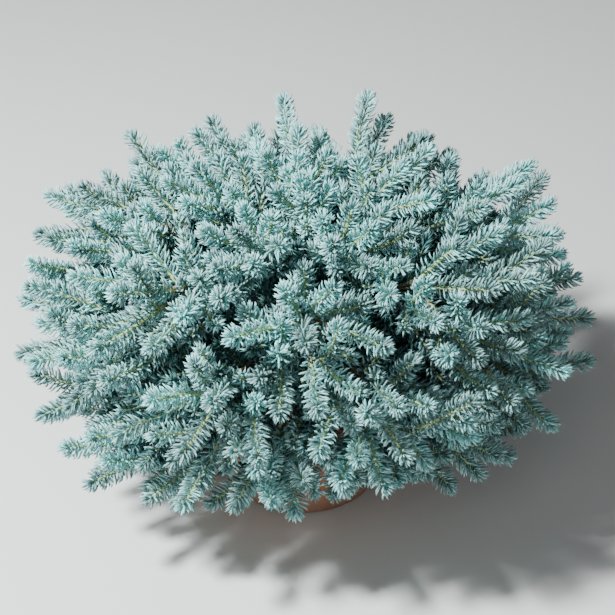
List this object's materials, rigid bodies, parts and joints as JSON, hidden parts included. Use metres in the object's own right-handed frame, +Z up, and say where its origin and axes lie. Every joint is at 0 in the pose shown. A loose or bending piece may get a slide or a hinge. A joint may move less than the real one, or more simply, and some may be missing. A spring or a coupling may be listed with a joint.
{
  "type": "potted blue spruce",
  "caption": "Low, dense mound of blue-green needled shoots fanning out from a short hidden trunk, in a plain clay flower pot, as a patio shrub.",
  "frame": {"origin": "centre of the pot's flat underside", "axes": "+Z up along the pot's axis, -Y towards the front that the picture shows, +X to its right"},
  "size_m": [0.7154, 0.6427, 0.442],
  "materials": {
    "clay": "matte unglazed terracotta",
    "potting_mix": "loose dark potting mix",
    "bark": "rough brown bark",
    "needles": "waxy pale blue-green needles"
  },
  "bodies": {
    "root": {"pot": "clay", "potting_mix": "potting_mix", "trunk": "bark", "bough_crown_1": "bark", "bough_crown_2": "bark", "bough_crown_3": "bark", "bough_crown_4": "bark", "bough_crown_5": "bark", "bough_shoulder_1": "bark", "bough_shoulder_2": "bark", "bough_shoulder_3": "bark", "bough_shoulder_4": "bark", "bough_shoulder_5": "bark", "bough_shoulder_6": "bark", "bough_shoulder_7": "bark", "bough_side_1": "bark", "bough_side_2": "bark", "bough_side_3": "bark", "bough_side_4": "bark", "bough_side_5": "bark", "bough_side_6": "bark", "bough_side_7": "bark", "bough_side_8": "bark", "bough_skirt_1": "bark", "bough_skirt_2": "bark", "bough_skirt_3": "bark", "bough_skirt_4": "bark", "bough_skirt_5": "bark", "bough_skirt_6": "bark", "bough_skirt_7": "bark", "foliage_top": "needles", "foliage_crown_1": "needles", "foliage_crown_2": "needles", "foliage_crown_3": "needles", "foliage_crown_4": "needles", "foliage_crown_5": "needles", "foliage_shoulder_1": "needles", "foliage_shoulder_2": "needles", "foliage_shoulder_3": "needles", "foliage_shoulder_4": "needles", "foliage_shoulder_5": "needles", "foliage_shoulder_6": "needles", "foliage_shoulder_7": "needles", "foliage_side_1": "needles", "foliage_side_2": "needles", "foliage_side_3": "needles", "foliage_side_4": "needles", "foliage_side_5": "needles", "foliage_side_6": "needles", "foliage_side_7": "needles", "foliage_side_8": "needles", "foliage_skirt_1": "needles", "foliage_skirt_2": "needles", "foliage_skirt_3": "needles", "foliage_skirt_4": "needles", "foliage_skirt_5": "needles", "foliage_skirt_6": "needles", "foliage_skirt_7": "needles"}
  },
  "joints": []
}
